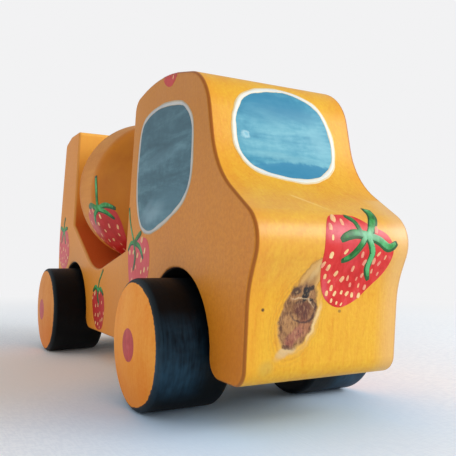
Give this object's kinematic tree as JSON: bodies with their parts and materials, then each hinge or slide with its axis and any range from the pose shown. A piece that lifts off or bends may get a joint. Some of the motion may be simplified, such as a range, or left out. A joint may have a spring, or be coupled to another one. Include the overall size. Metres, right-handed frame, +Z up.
{
  "type": "push along concrete mixer truck",
  "caption": "Wooden push along concrete mixer truck: solid block body, tilted bicone drum that spins on a dowel, and thick wheels on dowel axles in round side pockets.",
  "frame": {"origin": "on the floor under the middle of the truck's length and width", "axes": "+X forward, towards the cab; +Y the truck's left; +Z up"},
  "size_m": [0.2102, 0.0826, 0.1088],
  "materials": {
    "body_wood": "yellow-orange stain under satin varnish",
    "drum_wood": "orange stain under satin varnish",
    "dowel_wood": "plain hardwood dowel, oiled",
    "axle_wood": "hardwood dowel with ends painted brick red",
    "wheel_wood": "black painted tread, orange stained face, satin varnish",
    "window_paint": "brushed acrylic paint under satin varnish",
    "outline_paint": "brushed acrylic paint under satin varnish",
    "berry_paint": "brushed acrylic paint under satin varnish",
    "leaf_paint": "brushed acrylic paint under satin varnish",
    "seed_paint": "brushed acrylic paint under satin varnish"
  },
  "bodies": {
    "truck": {"body": "body_wood", "drum_spindle": "dowel_wood"},
    "drum": {"drum": "drum_wood"},
    "front_wheels": {"front_axle": "axle_wood", "wheel_front_left": "wheel_wood", "wheel_front_right": "wheel_wood"},
    "rear_wheels": {"rear_axle": "axle_wood", "wheel_rear_left": "wheel_wood", "wheel_rear_right": "wheel_wood"}
  },
  "joints": [
    {"name": "drum_spin", "type": "hinge", "parent": "truck", "child": "drum", "pos_m": [-0.02894, 0, 0.0759], "axis": [0.9877, 0, -0.1564], "continuous": true},
    {"name": "front_wheels_spin", "type": "hinge", "parent": "truck", "child": "front_wheels", "pos_m": [0.05706, 0, 0.02], "axis": [0, 1, 0], "continuous": true},
    {"name": "rear_wheels_spin", "type": "hinge", "parent": "truck", "child": "rear_wheels", "pos_m": [-0.06994, 0, 0.02], "axis": [0, 1, 0], "continuous": true}
  ]
}
